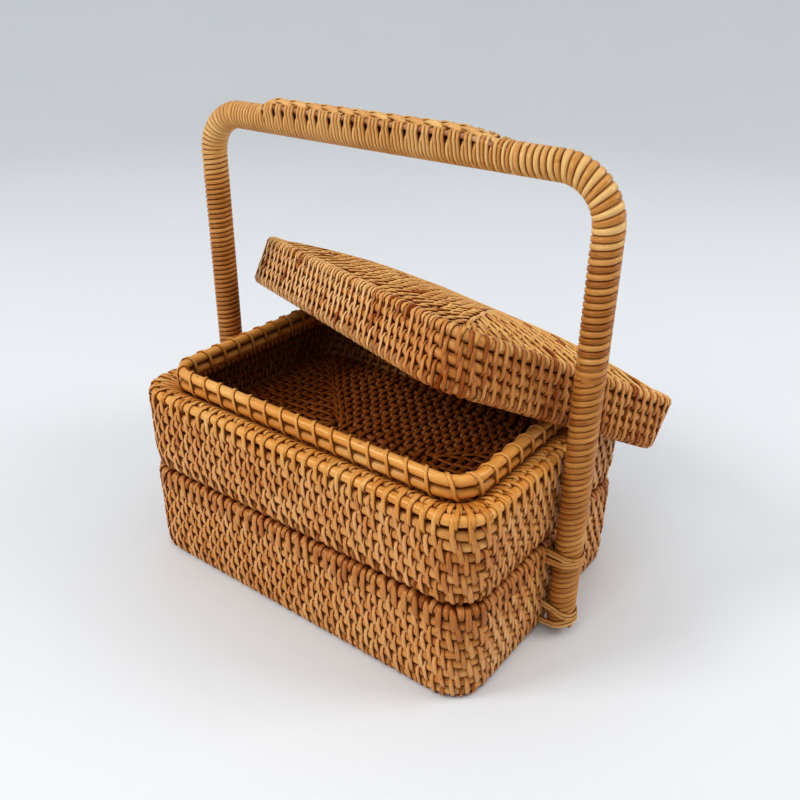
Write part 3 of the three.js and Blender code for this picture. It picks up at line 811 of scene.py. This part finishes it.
def wind(piece, start, end, turn, canes, origin=0, lift=lambda run, angle: 0):
    """Winds canes side by side round the pole, from one distance along it to another."""
    lead = canes * turn
    steps = round((end - start) / lead * TURN_STEPS)
    for cane in range(canes):
        points, faces, spreads = [], [], []
        for step in range(steps + 1):
            run = start + (end - start) * step / steps
            angle = 2 * math.pi * ((run - origin) / lead + cane / canes)
            place = handle_place(run)
            face = (place.col[0] * math.cos(angle) + place.col[1] * math.sin(angle)).to_3d()
            points.append(place.translation + face * (winding_middle + lift(run, angle)))
            faces.append(face)
            climb = min(run, handle_run - run)
            bent = post_run < climb < post_run + bend_run
            spreads.append(1 + (BEND_SPREAD * max(0, math.cos(angle)) if bent else 0))
        length = sum((after - before).length for before, after in zip(points, points[1:]))
        section = strip_section(turn * TURN_COVER, WINDING_THICKNESS, edge=-0.2, flat=0.28)
        places = [
            place @ Matrix.Diagonal((spread, 1, 1, 1))
            for place, spread in zip(strip_places(points, faces), spreads)
        ]
        lay(piece, draw_cane(
            places, section, lambda run: winding_tone(cane, start + (end - start) * run / length)
        ))


winding_finish = cane_finish(
    "winding_cane", deep=(0.25, 0.058, 0.004), middle=(0.61, 0.275, 0.072), pale=(0.88, 0.57, 0.24),
    roughness=0.34, fibre_depth=0.3, varnish=0.08, shine=0.45,
)
post_end = post_run + bend_run
splice = handle_run / 2 + GRIP_RIGHT + SPLICE_OVERLAP
steep_start = handle_run - post_run + STEEP_START
left_winding, right_winding, bar_winding = new_piece(), new_piece(), new_piece()
wind(left_winding, BARE_FOOT, post_end, LEFT_TURN, LEFT_CANES)
wind(right_winding, handle_run - post_end, steep_start, RIGHT_TURN, RIGHT_CANES)
wind(
    right_winding, steep_start - STEEP_UNDERLAP, steep_start + SPLICE_OVERLAP, RIGHT_TURN, STEEP_CANES,
    lift=splice_lift,
)
wind(right_winding, steep_start, handle_run - BARE_FOOT, RIGHT_TURN, STEEP_CANES)
wind(bar_winding, splice, handle_run - post_end, RIGHT_TURN, RIGHT_CANES)
wind(
    bar_winding, post_end - GRIP_UNDERLAP, post_end + SPLICE_OVERLAP, GRIP_TURN, GRIP_CANES,
    lift=splice_lift,
)
wind(bar_winding, post_end, splice + 2 * SPLICE_OVERLAP, GRIP_TURN, GRIP_CANES, post_end, grip_lift)
for node, winding in (
    ("left_post_wrapping", left_winding),
    ("bar_wrapping", bar_winding),
    ("right_post_wrapping", right_winding),
):
    name = node.replace("wrapping", "winding")
    finish_piece(name, winding, winding_finish, "lower_tray", "cane_wrapping", node)


# Grip: two thin round rods along the top of the bar, held down by the winding that crosses them, and
# a three-strand plait of flat cane between them, whose ends taper in under the winding.
BRAID_PERIOD = 0.034
BRAID_SWING = 0.0025
BRAID_RISE = 0.0008
BRAID_WIDTH = 0.0050
BRAID_THICKNESS = 0.0012
BRAID_STEP = 0.0011
BRAID_SINK = 0.0062
BRAID_LEAN = 0.003
BRAID_CLEARANCE = 0.0006
BRAID_TILT = 0.35
BRAID_END_SWING = 0.2
BRAID_END_WIDTH = 0.55
BRAID_TONES = (0.62, 0.70, 0.78)
UNDERLAY_STEP = 0.004
UNDERLAY_SINK = 2.6
UNDERLAY_END = 0.5
UNDERLAY_MARGIN = 0.0001
UNDERLAY_TONE = 0.5
underlay_finish = cane_finish(
    "peeled_core", deep=(0.22, 0.075, 0.025), middle=(0.42, 0.19, 0.085), pale=(0.62, 0.36, 0.20),
    roughness=0.4, fibre_depth=0.2,
)
for node in ("grip_front_underlay", "grip_back_underlay"):
    low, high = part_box(node)
    middle = (low + high) / 2
    steps = round((high.x - low.x) / UNDERLAY_STEP)
    places = []
    for step in range(steps + 1):
        x = low.x + (high.x - low.x) * step / steps
        end = grip_rise(x)
        sink = underlay_radius * UNDERLAY_SINK * (1 - end)
        place = Matrix.Translation((x, middle.y, middle.z - sink)) @ Matrix.Rotation(math.pi / 2, 4, "Y")
        places.append(place @ Matrix.Scale(UNDERLAY_END + (1 - UNDERLAY_END) * end, 4))
    underlay = new_piece()
    lay(underlay, draw_cane(
        places, round_section(underlay_radius + UNDERLAY_MARGIN),
        lambda run: UNDERLAY_TONE + 0.5 * noise.noise((run * 90, 7, 1)),
    ))
    name = node.replace("underlay", "rod")
    finish_piece(name, underlay, underlay_finish, "lower_tray", "grip_cane", node)

braid_low, braid_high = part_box("grip_braid")
braid_middle = (braid_low.z + braid_high.z) / 2 + BRAID_CLEARANCE
braid = new_piece()
braid_steps = round((braid_high.x - braid_low.x) / BRAID_STEP)
for strand, shade in enumerate(BRAID_TONES):
    points, faces, narrows = [], [], []
    for step in range(braid_steps + 1):
        x = braid_low.x + (braid_high.x - braid_low.x) * step / braid_steps
        end = grip_rise(x)
        swing = 2 * math.pi * (x / BRAID_PERIOD + strand / len(BRAID_TONES))
        y = BRAID_SWING * (BRAID_END_SWING + (1 - BRAID_END_SWING) * end) * math.sin(swing)
        if x > 0:
            y -= BRAID_LEAN * (1 - end)
        z = braid_middle + BRAID_RISE * end * math.sin(2 * swing) - BRAID_SINK * (1 - end)
        points.append(Vector((x, y, z)))
        faces.append(Vector((0, BRAID_TILT * math.sin(swing), 1)).normalized())
        narrows.append(BRAID_END_WIDTH + (1 - BRAID_END_WIDTH) * end)
    places = [
        place @ Matrix.Scale(narrow, 4) for place, narrow in zip(strip_places(points, faces), narrows)
    ]
    lay(braid, draw_cane(
        places, strip_section(BRAID_WIDTH, BRAID_THICKNESS),
        lambda run: shade + 0.2 * noise.noise((run * 60, strand, 5)),
    ))
finish_piece("grip_plait", braid, winding_finish, "lower_tray", "grip_cane", "grip_braid")


# Lashings: two bunches of narrow cane on each post, pulled round it and through the lower tray's wall.
# Each bunch has four turns, two falling and two climbing, that come together outside the post. The
# upper bunch is just under the border, and the lower one holds the foot.
LASHING_WIDTH = 0.0024
LASHING_THICKNESS = 0.0010
LASHING_STEPS = 14
LASHING_LAYER = 0.0002
LASHING_AT_WALL = 0.8
LASHING_HALFWAY = 0.95
LASHING_TONES = (0.5, 0.8)
UPPER_STRANDS = (
    (0.0575, 0.0548, 0.0520),
    (0.0553, 0.0527, 0.0500),
    (0.0505, 0.0535, 0.0550),
    (0.0487, 0.0513, 0.0530),
)
LOWER_STRANDS = (
    (0.0215, 0.0150, 0.0120),
    (0.0195, 0.0125, 0.0100),
    (0.0068, 0.0125, 0.0170),
    (0.0050, 0.0098, 0.0150),
)


def lash(node, strands):
    """One lashing, where its solid is. A strand's heights are in front of the post, outside and behind."""
    low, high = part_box(node)
    side = 1 if high.x > 0 else -1
    wall = min(abs(low.x), abs(high.x))
    bunch = new_piece()
    for number, (front, outside, back) in enumerate(strands):
        reach = winding_radius + LASHING_THICKNESS / 2 + LASHING_LAYER * number
        spots = [(wall, -reach * LASHING_AT_WALL), ((wall + post_x) / 2, -reach * LASHING_HALFWAY)]
        for step in range(LASHING_STEPS + 1):
            angle = math.pi * (step / LASHING_STEPS - 0.5)
            spots.append((post_x + reach * math.cos(angle), reach * math.sin(angle)))
        spots += [((wall + post_x) / 2, reach * LASHING_HALFWAY), (wall, reach * LASHING_AT_WALL)]
        points, faces = [], []
        for step, (x, y) in enumerate(spots):
            share = 2 * step / (len(spots) - 1) - 1
            height = outside + (front - outside if share < 0 else back - outside) * share * share
            points.append(Vector((side * x, y, height)))
            faces.append(Vector((side * max(0, x - post_x), y, 0)).normalized())
        shade = chance.uniform(*LASHING_TONES)
        section = strip_section(LASHING_WIDTH, LASHING_THICKNESS, flat=0.3)
        lay(bunch, draw_cane(strip_places(points, faces), section, lambda run: shade))
    name = node.replace("lashing", "lashing_cane")
    finish_piece(name, bunch, winding_finish, "lower_tray", "cane_binding", node)


for side in ("right", "left"):
    lash(f"{side}_upper_lashing", UPPER_STRANDS)
    lash(f"{side}_lower_lashing", LOWER_STRANDS)


# Upper tray: made as the lower one, with one row less and its floor raised above the lower collar.
# Its border rod shows between wider-spaced stitches and has the same varnish as the collar. A thinner
# rod lines its foot, and the canes that lie in the seam there are painted dark as painted shade.
UPPER_ROWS = 7
UPPER_FOOT_LIFT = 0.0008
UPPER_FOOT_TUCK = 0.0014
UPPER_BORDER_WIDTH = 0.0028
UPPER_BORDER_SPACING = 0.0076
FOOT_LINING_INSET = 0.0045
FOOT_LINING_RISE = 0.0025
# Painted shade on the upper foot's stitches: the seam's lit share on most of them, and a lighter shade on
# their outer part.
FOOT_OUTSIDE = -0.25
FOOT_LIT_SHARE = 0.6


def lining_of(course, inset, rise):
    """A thinner rod inside a course, which the stitches round its edge take in."""
    return Course(
        course.length - 2 * inset, course.width - 2 * inset, course.corner - inset, course.height + rise,
        LEDGE_ROD_RADIUS,
    )


weave_floor("upper_floor", "upper_tray", "upper_tray_floor")
upper_courses = weave_wall(
    "upper", "upper_tray", rows=UPPER_ROWS, foot_lift=UPPER_FOOT_LIFT, foot_tuck=UPPER_FOOT_TUCK,
    edge_finish=collar_finish, edge_width=UPPER_BORDER_WIDTH, edge_spacing=UPPER_BORDER_SPACING,
    inner_shift=0.12, seam=1,
)
weave_collar("upper", "upper_tray")
foot_lining = lining_of(upper_courses[0], FOOT_LINING_INSET, FOOT_LINING_RISE)
foot_rod, foot_stitches = new_piece(), new_piece()
# Painted shade: the foot's lining rod lies in the seam and is painted dark all over, in the floor's darker
# finish.
lay_hoop(foot_rod, foot_lining, lighting=lambda up, out: SEAM_LIT_SHARE)
sew(
    foot_stitches, upper_courses[0], foot_lining, phase=0.5, facing=-UP, lean=WALL_LEAN,
    lighting=lambda share: FOOT_LIT_SHARE if share < FOOT_OUTSIDE else SEAM_LIT_SHARE,
)
finish_piece("upper_foot_rod", foot_rod, floor_finish, "upper_tray", "woven_wall", "upper_tray_wall")
finish_piece(
    "upper_foot_stitches", foot_stitches, stitch_finish, "upper_tray", "woven_wall", "upper_tray_wall"
)


# Lid: a shallow tray turned over, with three rods between its edge rod and its shoulder rod, sewn as
# the walls are, and a top of nested rods that rises to the middle as a low dome. It isn't fixed, and
# lies askew on the upper tray.
LID_PLACE = Vector((0.00619, 0.04960, 0.12007))
LID_TURN = math.radians(-22.5)
LID_PITCH = math.radians(-4.25)
LID_ROLL = math.radians(-26.4)
LID_LENGTH = 0.246
LID_WIDTH = 0.178
LID_EDGE_HEIGHT = 0.0035
LID_SHOULDER_HEIGHT = 0.02875
LID_ROWS = 5
LID_ROD_RADIUS = 0.0031
LID_EDGE_RADIUS = 0.0030
LID_EDGE_TONE = 0.6
LID_LINING_INSET = 0.004
LID_LINING_RISE = 0.001
LID_STITCH_WIDTH = 0.0023
LID_BEAD_WIDTH = 0.0036
LID_SPACING = 0.0064
LID_LEAN = -0.0016
LID_TOP_PITCH = 0.0062
LID_TOP_RISE = 0.0098
LID_DOME_RODS = 11
LID_TOP_THICKNESS = 0.0011
LID_TOP_MARGIN = 0.0001
LID_TOP_SHARPER = 0.005
# Painted light and shade on the lid: how much paler it is all over, and how much darker the skirt gets
# from one point along over a given run towards its right end.
LID_PAINTED_LIGHT = 0.22
LID_PAINTED_SHADE = 0.36
LID_SHADE_START = 0.02
LID_SHADE_RUN = 0.1
LID_REDDISH_SHARES = (0.04, 0.16)
LID_REDDISH_TONES = (0.05, 0.3)
sunned_finish = cane_finish(
    "sunned_cane", deep=(0.25, 0.046, 0.002), middle=(0.64, 0.27, 0.060), pale=(0.90, 0.54, 0.20),
    roughness=0.46, fibre_depth=0.2, varnish=0, shine=0.2,
)
lid_matrix = (
    Matrix.Translation(LID_PLACE) @ Matrix.Rotation(LID_TURN, 4, "Z")
    @ Matrix.Rotation(LID_PITCH, 4, "Y") @ Matrix.Rotation(LID_ROLL, 4, "X")
)


def lid_course(row, radius):
    """One of the lid's five level rods, from the edge up to the shoulder."""
    inset = radius + STITCH_THICKNESS
    height = LID_EDGE_HEIGHT + (LID_SHOULDER_HEIGHT - LID_EDGE_HEIGHT) * row / (LID_ROWS - 1)
    return Course(LID_LENGTH - 2 * inset, LID_WIDTH - 2 * inset, CORNER_RADIUS - inset, height, radius)


def lid_tone(spot):
    """Shade of one lid stitch: paler all over as painted light, and on the skirt darker towards its right
    end as painted shade, with more dark reddish strips there.
    """
    on_skirt = spot.z < LID_SHOULDER_HEIGHT - LID_ROD_RADIUS
    # Painted shade: how far along the skirt's right end this stitch is.
    in_shade = min(1, max(0, (spot.x - LID_SHADE_START) / LID_SHADE_RUN)) if on_skirt else 0
    everywhere, more = LID_REDDISH_SHARES
    if chance.random() < everywhere + more * in_shade:
        return chance.uniform(*LID_REDDISH_TONES)
    return plain_tone(spot) + LID_PAINTED_LIGHT - LID_PAINTED_SHADE * in_shade


def finish_lid_piece(name, piece, finish, slot, node):
    """Turns a piece laid in the lid's own frame into an object that lies where the lid does."""
    finish_piece(name, piece, finish, "lid", slot, node, place=lid_matrix)


lid_rows = [lid_course(row, LID_ROD_RADIUS) for row in range(LID_ROWS)]
for row, name in ((0, "edge"), (LID_ROWS - 1, "shoulder")):
    lid_rows[row] = lid_course(row, LID_EDGE_RADIUS)
    hoop = new_piece()
    lay_hoop(hoop, lid_rows[row], LID_EDGE_TONE)
    finish_lid_piece(f"lid_{name}_rod", hoop, rod_finish, "border_rod", f"lid_{name}_hoop")
skirt_rods, skirt_stitches = new_piece(), new_piece()
for course in lid_rows[1:-1]:
    lay_hoop(skirt_rods, course, lighting=wall_rod)
for row, (below, above) in enumerate(zip(lid_rows, lid_rows[1:])):
    sew(
        skirt_stitches, below, above, ROW_SHIFT * row, spacing=LID_SPACING, lean=LID_LEAN,
        width=LID_STITCH_WIDTH, tone_of=lid_tone,
    )
edge_lining = lining_of(lid_rows[0], LID_LINING_INSET, LID_LINING_RISE)
lay_hoop(skirt_rods, edge_lining)
sew(
    skirt_stitches, lid_rows[0], edge_lining, phase=0.5, facing=-UP, spacing=LID_SPACING,
    width=LID_BEAD_WIDTH, thickness=LID_TOP_THICKNESS, tone_of=lid_tone,
)
finish_lid_piece("lid_skirt_rods", skirt_rods, rod_finish, "woven_wall", "lid_skirt")
finish_lid_piece("lid_skirt_stitches", skirt_stitches, stitch_finish, "woven_wall", "lid_skirt")
shoulder = lid_rows[-1]
lid_top, lid_spine = panel_courses(
    shoulder.length - 2 * LID_TOP_PITCH, shoulder.width - 2 * LID_TOP_PITCH,
    shoulder.corner - LID_TOP_SHARPER, LID_SHOULDER_HEIGHT + LID_TOP_MARGIN,
    FLOOR_ROD_RADIUS + LID_TOP_MARGIN, LID_TOP_PITCH, LID_TOP_RISE, LID_DOME_RODS,
)
top_rods, top_stitches = new_piece(), new_piece()
lay_panel(top_rods, top_stitches, lid_top, lid_spine, lid_tone, LID_TOP_THICKNESS)
sew(top_stitches, shoulder, lid_top[0], phase=0, facing=UP, spacing=LID_SPACING, tone_of=lid_tone)
finish_lid_piece("lid_top_rods", top_rods, sunned_finish, "woven_floor", "lid_top_panel")
finish_lid_piece("lid_top_stitches", top_stitches, sunned_finish, "woven_floor", "lid_top_panel")


# Studio: a sheet of pale paper, which lies flat under the basket and curves up all round it as a
# backdrop. A wide soft box hangs above, with smaller ones at the front, the left and the back right.
PAPER_REACH = 1.4
PAPER_BEND = 1.4
PAPER_SIDES = 96
PAPER_STEPS = 14


def pale_paper():
    """Matt off-white paper with a faint mottle."""
    finish = bpy.data.materials.new("pale_paper")
    finish.use_nodes = True
    nodes = finish.node_tree.nodes
    shader = nodes["Principled BSDF"]
    shader.inputs["Roughness"].default_value = 0.8
    shader.inputs["Specular IOR Level"].default_value = 0.2
    place = nodes.new("ShaderNodeTexCoord")
    mottle = nodes.new("ShaderNodeTexNoise")
    mottle.inputs["Scale"].default_value = 3
    shade = nodes.new("ShaderNodeValToRGB")
    shade.color_ramp.elements[0].color = (0.755, 0.777, 0.80, 1)
    shade.color_ramp.elements[1].color = (0.783, 0.805, 0.828, 1)
    links = finish.node_tree.links
    links.new(place.outputs["Object"], mottle.inputs["Vector"])
    links.new(mottle.outputs["Fac"], shade.inputs["Fac"])
    links.new(shade.outputs["Color"], shader.inputs["Base Color"])
    return finish


paper = bmesh.new()
bmesh.ops.create_circle(paper, cap_ends=True, radius=PAPER_REACH, segments=PAPER_SIDES)
rim = paper.edges[:]
reach, rise = PAPER_REACH, 0
for step in range(1, PAPER_STEPS + 1):
    angle = math.pi / 2 * step / PAPER_STEPS
    wider = PAPER_REACH + PAPER_BEND * math.sin(angle)
    higher = PAPER_BEND * (1 - math.cos(angle))
    pushed = bmesh.ops.extrude_edge_only(paper, edges=rim)["geom"]
    ring = [item for item in pushed if isinstance(item, bmesh.types.BMVert)]
    rim = [item for item in pushed if isinstance(item, bmesh.types.BMEdge)]
    bmesh.ops.scale(paper, vec=(wider / reach, wider / reach, 1), verts=ring)
    bmesh.ops.translate(paper, vec=(0, 0, higher - rise), verts=ring)
    reach, rise = wider, higher
paper_mesh = bpy.data.meshes.new("studio_floor")
paper.to_mesh(paper_mesh)
paper.free()
paper_mesh.polygons.foreach_set("use_smooth", [True] * len(paper_mesh.polygons))
paper_mesh.materials.append(pale_paper())
studio_floor = bpy.data.objects.new("studio_floor", paper_mesh)
bpy.context.scene.collection.objects.link(studio_floor)

world = bpy.data.worlds.new("studio_air")
bpy.context.scene.world = world
world.use_nodes = True
world.node_tree.nodes["Background"].inputs["Color"].default_value = (0.94, 0.97, 1.0, 1)
world.node_tree.nodes["Background"].inputs["Strength"].default_value = 0.22


def soft_lamp(name, spot, aim, size, power):
    """A square soft box that looks at a point."""
    lamp = bpy.data.lights.new(name, "AREA")
    lamp.size = size
    lamp.energy = power
    thing = bpy.data.objects.new(name, lamp)
    thing.location = spot
    thing.rotation_euler = (Vector(aim) - Vector(spot)).to_track_quat("-Z", "Y").to_euler()
    bpy.context.scene.collection.objects.link(thing)


soft_lamp("top_lamp", spot=(0.0, 0.2, 2.5), aim=(0, 0, 0), size=3.2, power=26.5)
soft_lamp("front_lamp", spot=(0.2, -1.35, 1.5), aim=(0, 0, 0.1), size=0.8, power=6)
soft_lamp("left_lamp", spot=(-0.9, -1.25, 1.3), aim=(0, 0, 0.1), size=0.6, power=12)
soft_lamp("right_lamp", spot=(1.2, 0.75, 1.1), aim=(0, 0, 0.1), size=0.7, power=8)
bpy.context.scene.view_settings.view_transform = "Standard"
bpy.context.scene.view_settings.look = "Medium High Contrast"


# Camera: where the photograph was taken from, in front, to the right and above. Its place, its angles
# and its focal length in pixels were worked out from the corners of both trays.
CAMERA_SPOT = Vector((0.2851, -0.3654, 0.3510))
CAMERA_DOWN = 0.483
CAMERA_TURN = -0.639
CAMERA_ROLL = -0.011
CAMERA_FOCUS = 857.6
PHOTO_WIDTH = 800
looking = Vector((
    math.sin(CAMERA_TURN) * math.cos(CAMERA_DOWN),
    math.cos(CAMERA_TURN) * math.cos(CAMERA_DOWN),
    -math.sin(CAMERA_DOWN),
))
rightwards = Vector((math.cos(CAMERA_TURN), -math.sin(CAMERA_TURN), 0))
upwards = rightwards.cross(looking)
lens = bpy.data.cameras.new("camera")
lens.sensor_width = 36
lens.lens = lens.sensor_width * CAMERA_FOCUS / PHOTO_WIDTH
lens.clip_start = 0.01
camera = bpy.data.objects.new("camera", lens)
camera.matrix_world = Matrix.Translation(CAMERA_SPOT) @ (
    Matrix((rightwards, upwards, -looking)).transposed() @ Matrix.Rotation(-CAMERA_ROLL, 3, "Z")
).to_4x4()
bpy.context.scene.collection.objects.link(camera)
bpy.context.scene.camera = camera
